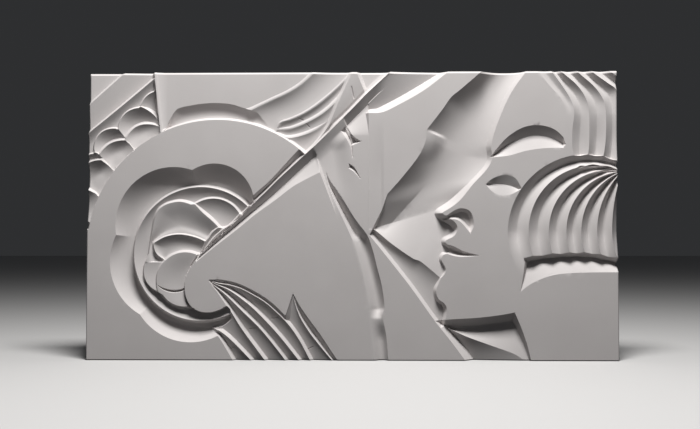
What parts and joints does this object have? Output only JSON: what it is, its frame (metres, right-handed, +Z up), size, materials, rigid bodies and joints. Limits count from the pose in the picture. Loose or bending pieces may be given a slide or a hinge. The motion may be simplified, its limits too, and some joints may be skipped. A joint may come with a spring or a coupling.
{
  "type": "plaster relief plaque",
  "caption": "Rectangular wall plaque of plaster, carved in low relief with a sun disc, a feathered wing, a cloud ring, leaf blades and a stylised face in profile.",
  "frame": {"origin": "centre of the flat back face, which lies against the wall", "axes": "+X along the plaque's long edge to the right as seen from the front, +Y into the wall, +Z up; the carved front faces -Y"},
  "size_m": [0.61, 0.045, 0.332],
  "materials": {
    "plaster": "matte"
  },
  "bodies": {
    "root": {"plaque": "plaster"}
  },
  "joints": []
}
